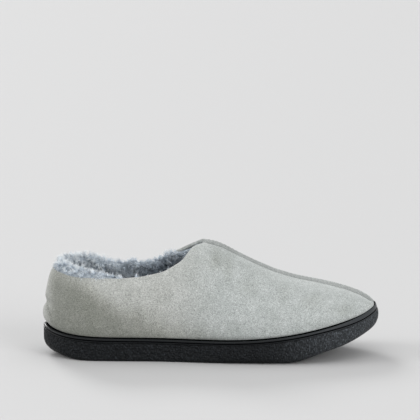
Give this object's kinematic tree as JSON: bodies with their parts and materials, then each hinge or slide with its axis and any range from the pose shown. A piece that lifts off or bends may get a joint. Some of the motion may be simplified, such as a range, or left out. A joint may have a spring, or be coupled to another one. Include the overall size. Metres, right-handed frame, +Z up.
{
  "type": "house slipper",
  "caption": "Closed-back house slipper for the right foot: padded suede side panels with a centre strip, fleece lining and a rubber cup sole.",
  "frame": {"origin": "on the floor, under the middle of the rubber sole's bounding rectangle", "axes": "+X runs from heel to toe, +Y to the medial (inner) side of the foot, +Z up"},
  "size_m": [0.29, 0.1081, 0.099],
  "materials": {
    "rubber": "pebbled sidewall, smooth satin rim",
    "midsole_foam": "closed-cell foam",
    "board": "fibre board",
    "soft_foam": "open-cell foam",
    "suede": "brushed microfibre suede",
    "fleece": "curly sherpa fleece",
    "stiffener": "pressed fibre sheet",
    "tape": "woven tape",
    "thread": "sewing thread"
  },
  "bodies": {
    "root": {"outsole": "rubber", "eva_midsole": "midsole_foam", "insole_board": "board", "footbed_foam": "soft_foam", "footbed_cover": "fleece", "outer_lateral_panel": "suede", "outer_medial_panel": "suede", "centre_strip": "suede", "strip_backing": "tape", "lateral_foam_backing": "soft_foam", "medial_foam_backing": "soft_foam", "lateral_lining": "fleece", "medial_lining": "fleece", "heel_counter": "stiffener", "toe_puff": "stiffener", "back_seam_tape": "tape", "topline_tape": "tape", "strip_stitching_lateral": "thread", "strip_stitching_medial": "thread", "board_stitching": "thread"}
  },
  "joints": []
}
